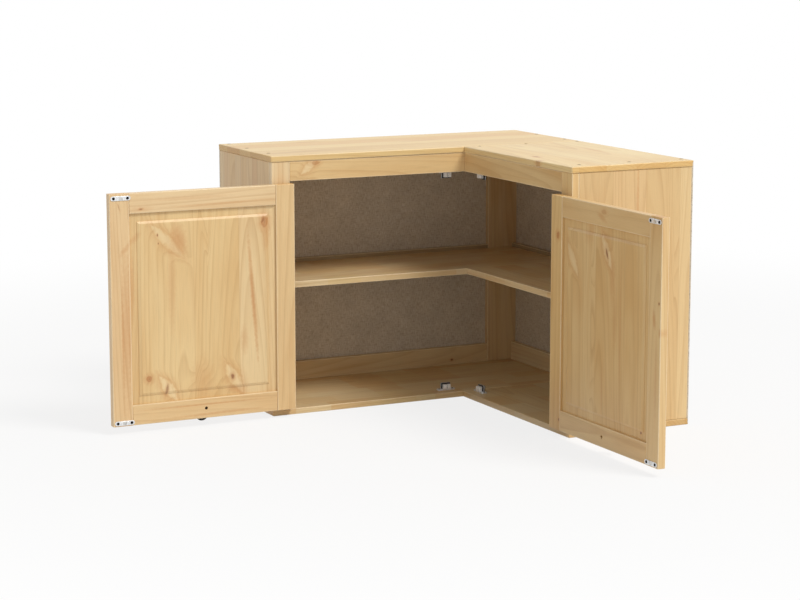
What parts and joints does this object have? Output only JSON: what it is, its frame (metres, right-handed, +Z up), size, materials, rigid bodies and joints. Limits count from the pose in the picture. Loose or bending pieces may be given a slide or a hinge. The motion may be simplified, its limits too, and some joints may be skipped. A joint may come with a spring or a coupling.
{
  "type": "corner wall cupboard",
  "caption": "L-shaped corner wall cupboard in solid pine, with a shelf, framed doors with raised panels, ring pulls and magnetic catches.",
  "frame": {"origin": "underside of the bottom, where the centre lines of the two wings cross", "axes": "+Z up; the left wing backs onto the wall at +Y and runs towards -X, the right wing backs onto the wall at +X and runs towards -Y"},
  "size_m": [1.202, 1.202, 0.6],
  "materials": {
    "pine": "clear satin lacquer on solid pine boards",
    "hardboard": "bare brown hardboard",
    "zinc": "zinc plated",
    "hinge_steel": "plated sheet steel",
    "screw_steel": "dark oiled steel",
    "black_iron": "black, slightly rough"
  },
  "bodies": {
    "carcass": {"top_board_left": "pine", "top_board_right": "pine", "bottom_board_left": "pine", "bottom_board_right": "pine", "shelf_left": "pine", "shelf_right": "pine", "left_end_panel": "pine", "right_end_panel": "pine", "left_stile": "pine", "right_stile": "pine", "left_top_rail": "pine", "right_top_rail": "pine", "left_back_panel": "hardboard", "right_back_panel": "hardboard", "left_top_back_rail": "pine", "left_middle_back_rail": "pine", "left_bottom_back_rail": "pine", "right_top_back_rail": "pine", "right_middle_back_rail": "pine", "right_bottom_back_rail": "pine", "corner_post": "pine", "top_seam_cleat": "pine", "left_catch_block": "pine", "right_catch_block": "pine", "left_upper_catch": "zinc", "left_lower_catch": "zinc", "right_upper_catch": "zinc", "right_lower_catch": "zinc", "left_upper_hinge_frame_leaf": "hinge_steel", "left_lower_hinge_frame_leaf": "hinge_steel", "right_upper_hinge_frame_leaf": "hinge_steel", "right_lower_hinge_frame_leaf": "hinge_steel", "left_upper_hinge_pin": "hinge_steel", "left_lower_hinge_pin": "hinge_steel", "right_upper_hinge_pin": "hinge_steel", "right_lower_hinge_pin": "hinge_steel"},
    "left_door": {"left_door_hinge_stile": "pine", "left_door_free_stile": "pine", "left_door_bottom_rail": "pine", "left_door_top_rail": "pine", "left_door_panel": "pine", "left_upper_hinge_door_leaf": "hinge_steel", "left_lower_hinge_door_leaf": "hinge_steel", "left_upper_strike_plate": "zinc", "left_lower_strike_plate": "zinc", "left_pull_plate": "black_iron", "left_pull_screw": "screw_steel"},
    "right_door": {"right_door_hinge_stile": "pine", "right_door_free_stile": "pine", "right_door_bottom_rail": "pine", "right_door_top_rail": "pine", "right_door_panel": "pine", "right_upper_hinge_door_leaf": "hinge_steel", "right_lower_hinge_door_leaf": "hinge_steel", "right_upper_strike_plate": "zinc", "right_lower_strike_plate": "zinc", "right_pull_plate": "black_iron", "right_pull_screw": "screw_steel"},
    "left_ring": {"left_pull_ring": "black_iron"},
    "right_ring": {"right_pull_ring": "black_iron"}
  },
  "joints": [
    {"name": "left_door_hinge", "type": "hinge", "parent": "carcass", "child": "left_door", "pos_m": [-0.6034, -0.1585, 0.278], "axis": [0, 0, 1], "range_deg": [-6, 180]},
    {"name": "right_door_hinge", "type": "hinge", "parent": "carcass", "child": "right_door", "pos_m": [-0.1585, -0.6034, 0.278], "axis": [0, 0, -1], "range_deg": [-6, 180]},
    {"name": "left_ring_swing", "type": "hinge", "parent": "left_door", "child": "left_ring", "pos_m": [-0.8245, -0.151, 0.03475], "axis": [1, 0, 0], "range_deg": [-12, 170]},
    {"name": "right_ring_swing", "type": "hinge", "parent": "right_door", "child": "right_ring", "pos_m": [-0.151, -0.8245, 0.03475], "axis": [0, -1, 0], "range_deg": [-12, 170]}
  ]
}
